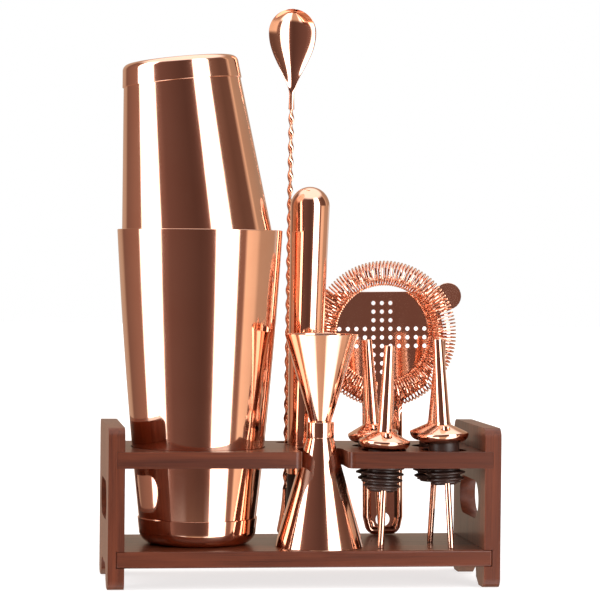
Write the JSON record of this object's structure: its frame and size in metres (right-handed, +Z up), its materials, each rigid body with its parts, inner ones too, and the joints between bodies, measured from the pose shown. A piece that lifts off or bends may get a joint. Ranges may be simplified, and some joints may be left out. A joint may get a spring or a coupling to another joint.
{
  "type": "cocktail shaker set",
  "caption": "Two-piece shaker with nested weighted tins, twisted bar spoon, muddler, jigger, spring strainer and pourers in a two-tier wooden stand.",
  "frame": {"origin": "middle of the stand's footprint, on the table", "axes": "+Z up; +X along the stand, from the tins to the pourers; +Y from the stand's front, where the jigger's notch opens, to its back"},
  "size_m": [0.216, 0.0922, 0.3239],
  "materials": {
    "rose_gold_steel": "mirror-polished rose-gold plating on stainless steel",
    "walnut_board": "dark walnut stain under a satin lacquer",
    "black_rubber": "satin moulded rubber",
    "black_nylon": "matt moulded nylon",
    "hidden_steel": "plain steel, sealed in the base caps"
  },
  "bodies": {
    "stand": {"left_end_panel": "walnut_board", "right_end_panel": "walnut_board", "top_shelf": "walnut_board", "bottom_shelf": "walnut_board"},
    "large_tin": {"large_tin_shell": "rose_gold_steel", "large_tin_base_cap": "rose_gold_steel", "large_tin_weight": "hidden_steel"},
    "small_tin": {"small_tin_shell": "rose_gold_steel", "small_tin_base_cap": "rose_gold_steel", "small_tin_weight": "hidden_steel"},
    "bar_spoon": {"spoon_bowl": "rose_gold_steel", "spoon_stem": "rose_gold_steel", "spoon_drop": "rose_gold_steel"},
    "muddler": {"muddler_handle": "rose_gold_steel", "muddler_head": "black_nylon"},
    "jigger": {"jigger_large_cup": "rose_gold_steel", "jigger_collar": "rose_gold_steel", "jigger_small_cup": "rose_gold_steel"},
    "strainer": {"strainer_plate": "rose_gold_steel", "strainer_spring": "rose_gold_steel"},
    "pourer_1": {"pourer_1_spout": "rose_gold_steel", "pourer_1_flange": "rose_gold_steel", "pourer_1_cork": "black_rubber", "pourer_1_vent_tube": "rose_gold_steel"},
    "pourer_2": {"pourer_2_spout": "rose_gold_steel", "pourer_2_flange": "rose_gold_steel", "pourer_2_cork": "black_rubber", "pourer_2_vent_tube": "rose_gold_steel"},
    "pourer_3": {"pourer_3_spout": "rose_gold_steel", "pourer_3_flange": "rose_gold_steel", "pourer_3_cork": "black_rubber", "pourer_3_vent_tube": "rose_gold_steel"},
    "pourer_4": {"pourer_4_spout": "rose_gold_steel", "pourer_4_flange": "rose_gold_steel", "pourer_4_cork": "black_rubber", "pourer_4_vent_tube": "rose_gold_steel"}
  },
  "joints": [
    {"name": "large_tin_lift", "type": "slide", "parent": "stand", "child": "large_tin", "axis": [0, 0, 1], "range_m": [0, 0.2]},
    {"name": "small_tin_lift", "type": "slide", "parent": "large_tin", "child": "small_tin", "axis": [0, 0, 1], "range_m": [0, 0.16]},
    {"name": "bar_spoon_lift", "type": "slide", "parent": "stand", "child": "bar_spoon", "axis": [0.0061, 0, 1], "range_m": [0, 0.2]},
    {"name": "muddler_lift", "type": "slide", "parent": "stand", "child": "muddler", "axis": [0.0201, 0, 0.9998], "range_m": [0, 0.12]},
    {"name": "jigger_slide", "type": "slide", "parent": "stand", "child": "jigger", "axis": [0, -1, 0], "range_m": [0, 0.08]},
    {"name": "strainer_lift", "type": "slide", "parent": "stand", "child": "strainer", "axis": [-0.014, 0, 0.9999], "range_m": [0, 0.12]},
    {"name": "pourer_1_lift", "type": "slide", "parent": "stand", "child": "pourer_1", "axis": [-0.0785, 0, 0.9969], "range_m": [0, 0.065]},
    {"name": "pourer_2_lift", "type": "slide", "parent": "stand", "child": "pourer_2", "axis": [0.0436, 0, 0.999], "range_m": [0, 0.065]},
    {"name": "pourer_3_lift", "type": "slide", "parent": "stand", "child": "pourer_3", "axis": [-0.0557, 0.0523, 0.9971], "range_m": [0, 0.065]},
    {"name": "pourer_4_lift", "type": "slide", "parent": "stand", "child": "pourer_4", "axis": [0.061, 0.0349, 0.9975], "range_m": [0, 0.065]}
  ]
}
